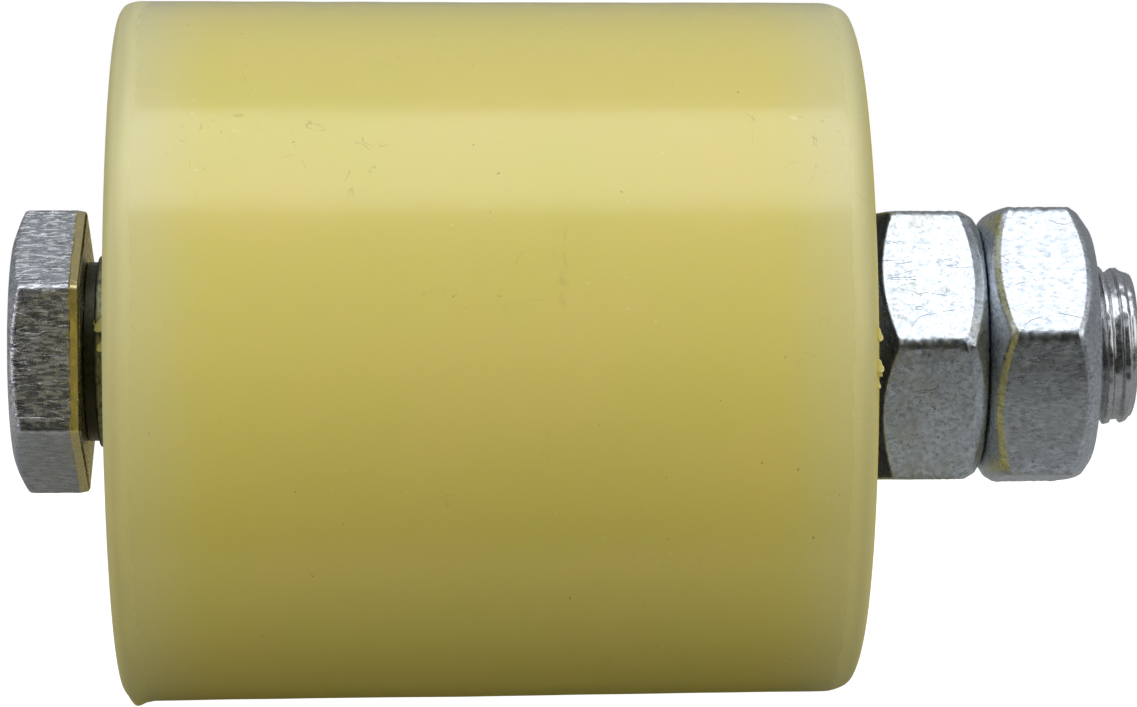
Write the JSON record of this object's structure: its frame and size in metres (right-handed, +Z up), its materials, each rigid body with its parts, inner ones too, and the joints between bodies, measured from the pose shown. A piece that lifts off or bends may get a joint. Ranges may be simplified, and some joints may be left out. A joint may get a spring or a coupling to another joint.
{
  "type": "track roller",
  "caption": "Plain cylindrical nylon track roller on two sealed ball bearings, carried by a long hex bolt with a pair of thin jam nuts on its threaded end.",
  "frame": {"origin": "middle of the roller's length, on the bolt's axis", "axes": "+Y along the bolt from its head towards the nuts, the axis the roller spins about; +Z up; +X is the side with a corner of each nut and a flat of the head"},
  "size_m": [0.0504, 0.0805, 0.0504],
  "materials": {
    "nylon": "satin",
    "zinc_plated_bolt": "satin",
    "zinc_plated_nut": "satin",
    "bearing_steel": "gloss",
    "pressed_steel": "satin",
    "seal_rubber": "matte"
  },
  "bodies": {
    "axle": {"hex_bolt": "zinc_plated_bolt", "head_collar": "zinc_plated_bolt", "bearing_spacer": "zinc_plated_bolt", "nut_collar": "zinc_plated_bolt", "inner_jam_nut": "zinc_plated_nut", "outer_jam_nut": "zinc_plated_nut", "head_bearing_inner_ring": "bearing_steel", "nut_bearing_inner_ring": "bearing_steel"},
    "roller": {"roller_body": "nylon", "head_bearing_outer_ring": "bearing_steel", "head_bearing_outboard_seal": "seal_rubber", "head_bearing_inboard_seal": "seal_rubber", "nut_bearing_outer_ring": "bearing_steel", "nut_bearing_outboard_seal": "seal_rubber", "nut_bearing_inboard_seal": "seal_rubber"},
    "head_cage": {"head_bearing_cage": "pressed_steel", "head_bearing_ball_1": "bearing_steel", "head_bearing_ball_2": "bearing_steel", "head_bearing_ball_3": "bearing_steel", "head_bearing_ball_4": "bearing_steel", "head_bearing_ball_5": "bearing_steel", "head_bearing_ball_6": "bearing_steel", "head_bearing_ball_7": "bearing_steel"},
    "nut_cage": {"nut_bearing_cage": "pressed_steel", "nut_bearing_ball_1": "bearing_steel", "nut_bearing_ball_2": "bearing_steel", "nut_bearing_ball_3": "bearing_steel", "nut_bearing_ball_4": "bearing_steel", "nut_bearing_ball_5": "bearing_steel", "nut_bearing_ball_6": "bearing_steel", "nut_bearing_ball_7": "bearing_steel"}
  },
  "joints": [
    {"name": "roller_spin", "type": "hinge", "parent": "axle", "child": "roller", "pos_m": [0, 0, 0], "axis": [0, 1, 0], "continuous": true},
    {"name": "head_cage_spin", "type": "hinge", "parent": "axle", "child": "head_cage", "pos_m": [0, -0.02, 0], "axis": [0, 1, 0], "continuous": true},
    {"name": "nut_cage_spin", "type": "hinge", "parent": "axle", "child": "nut_cage", "pos_m": [0, 0.02, 0], "axis": [0, 1, 0], "continuous": true}
  ],
  "couplings": [
    {"joint": "head_cage_spin", "follows": "roller_spin", "ratio": 0.6353},
    {"joint": "nut_cage_spin", "follows": "roller_spin", "ratio": 0.6353}
  ]
}
